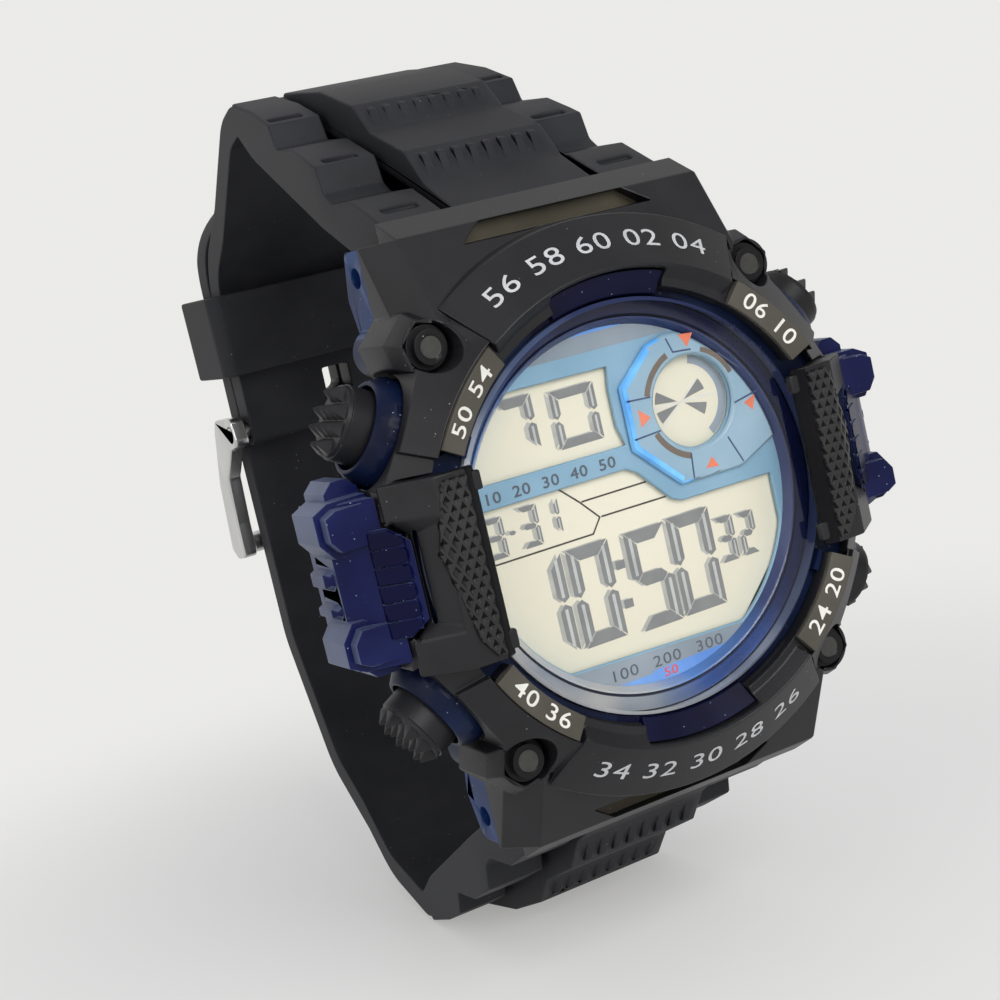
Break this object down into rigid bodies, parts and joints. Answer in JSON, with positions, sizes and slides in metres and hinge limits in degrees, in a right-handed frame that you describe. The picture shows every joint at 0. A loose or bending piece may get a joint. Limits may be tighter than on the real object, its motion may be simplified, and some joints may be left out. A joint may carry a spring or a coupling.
{
  "type": "digital watch",
  "caption": "Chunky round digital wrist watch with screwed cover plates, side guards, spiked pushers and a stepped resin strap closed in a loop by a buckle.",
  "frame": {"origin": "middle of the buckled strap loop, on the watch's middle plane, level with the centre of the dial, where the wrist passes through", "axes": "+Z towards 12 o'clock, +X towards 3 o'clock, and the dial faces -Y; a wrist passes through along X"},
  "size_m": [0.0518, 0.0703, 0.0794],
  "materials": {
    "navy_case": "translucent, smooth",
    "navy_bumper": "translucent, smooth",
    "black_cover": "matt, fine grain",
    "strap_resin": "matt, fine grain",
    "pusher_black": "matt",
    "label_grey": "satin, pale printed numbers",
    "screw_steel": "dark satin",
    "back_steel": "brushed",
    "buckle_steel": "satin",
    "clip_steel": "plain",
    "cell_steel": "plain",
    "crystal": "clear, polished",
    "dial_blue": "matt, printed",
    "display_cream": "semi-gloss, grey segments",
    "light_panel": "plain",
    "module_plastic": "plain",
    "connector_rubber": "plain",
    "gasket_rubber": "plain",
    "board_green": "lacquered",
    "contact_brass": "plain"
  },
  "bodies": {
    "case": {"case_body": "navy_case", "case_cover": "black_cover", "cover_screws": "screw_steel", "label_plates": "label_grey", "guard_right": "black_cover", "guard_left": "black_cover", "bumper_right": "navy_bumper", "bumper_left": "navy_bumper", "crystal": "crystal", "crystal_gasket": "gasket_rubber", "dial_plate": "dial_blue", "lcd_panel": "display_cream", "backlight_panel": "light_panel", "module_frame": "module_plastic", "zebra_connectors": "connector_rubber", "circuit_board": "board_green", "switch_contacts": "contact_brass", "battery": "cell_steel", "battery_clip": "clip_steel", "buzzer": "contact_brass", "case_back": "back_steel", "case_back_gasket": "gasket_rubber", "case_back_screws": "screw_steel", "pusher_seals": "gasket_rubber", "pusher_springs": "clip_steel", "spring_bars": "clip_steel", "strap_upper": "strap_resin", "strap_lower": "strap_resin", "buckle_pin": "buckle_steel"},
    "pusher_upper_right": {"pusher_upper_right": "pusher_black", "pusher_clip_upper_right": "clip_steel"},
    "pusher_upper_left": {"pusher_upper_left": "pusher_black", "pusher_clip_upper_left": "clip_steel"},
    "pusher_lower_left": {"pusher_lower_left": "pusher_black", "pusher_clip_lower_left": "clip_steel"},
    "pusher_lower_right": {"pusher_lower_right": "pusher_black", "pusher_clip_lower_right": "clip_steel"},
    "buckle": {"buckle_frame": "buckle_steel"},
    "tongue": {"buckle_tongue": "buckle_steel"},
    "keeper": {"strap_keeper": "strap_resin"}
  },
  "joints": [
    {"name": "push_upper_right", "type": "slide", "parent": "case", "child": "pusher_upper_right", "axis": [-0.866, 0, -0.5], "range_m": [0, 0.001], "stiffness_N_per_m": 800, "springref_m": -0.001},
    {"name": "push_upper_left", "type": "slide", "parent": "case", "child": "pusher_upper_left", "axis": [0.866, 0, -0.5], "range_m": [0, 0.001], "stiffness_N_per_m": 800, "springref_m": -0.001},
    {"name": "push_lower_left", "type": "slide", "parent": "case", "child": "pusher_lower_left", "axis": [0.866, 0, 0.5], "range_m": [0, 0.001], "stiffness_N_per_m": 800, "springref_m": -0.001},
    {"name": "push_lower_right", "type": "slide", "parent": "case", "child": "pusher_lower_right", "axis": [-0.866, 0, 0.5], "range_m": [0, 0.001], "stiffness_N_per_m": 800, "springref_m": -0.001},
    {"name": "buckle_hinge", "type": "hinge", "parent": "case", "child": "buckle", "pos_m": [0, 0.02425, 0.009], "axis": [1, 0, 0], "range_deg": [0, 8]},
    {"name": "tongue_hinge", "type": "hinge", "parent": "buckle", "child": "tongue", "pos_m": [0, 0.02425, 0.009], "axis": [1, 0, 0], "range_deg": [0, 18]},
    {"name": "keeper_slide", "type": "slide", "parent": "case", "child": "keeper", "axis": [0, 0, 1], "range_m": [-0.003, 0.0006]}
  ]
}
